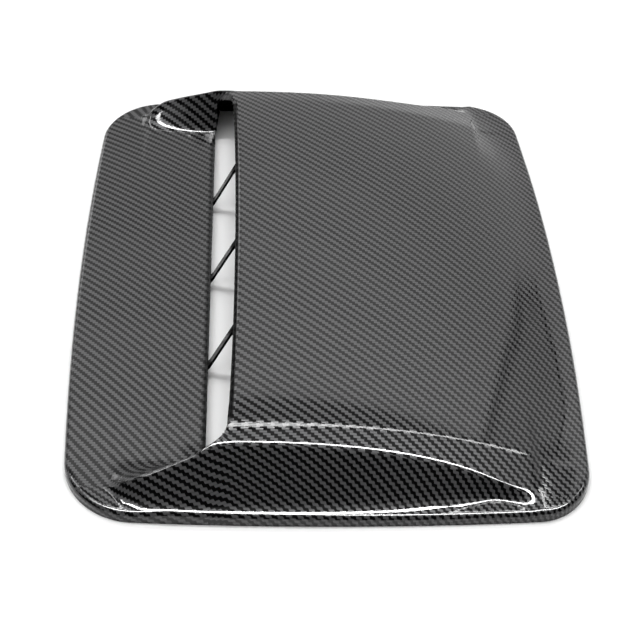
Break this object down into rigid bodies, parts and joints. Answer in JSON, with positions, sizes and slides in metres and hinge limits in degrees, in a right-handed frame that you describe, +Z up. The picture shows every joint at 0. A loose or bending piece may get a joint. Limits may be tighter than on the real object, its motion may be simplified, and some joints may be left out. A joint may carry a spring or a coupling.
{
  "type": "bonnet scoop",
  "caption": "Low, wide bonnet scoop with a flat front ramp, a full-width intake under a sloping lip split by slim vanes, and swept side walls running into a rounded rim.",
  "frame": {"origin": "middle of the part in plan, on the plane that the rim stands on", "axes": "+X towards the rear of the car, away from the intake; +Y across the car; +Z up, away from the bonnet"},
  "size_m": [0.238, 0.34, 0.0286],
  "materials": {
    "weave_print": "gloss clear coat over a printed two-by-two twill carbon weave"
  },
  "bodies": {
    "root": {"scoop_shell": "weave_print"}
  },
  "joints": []
}
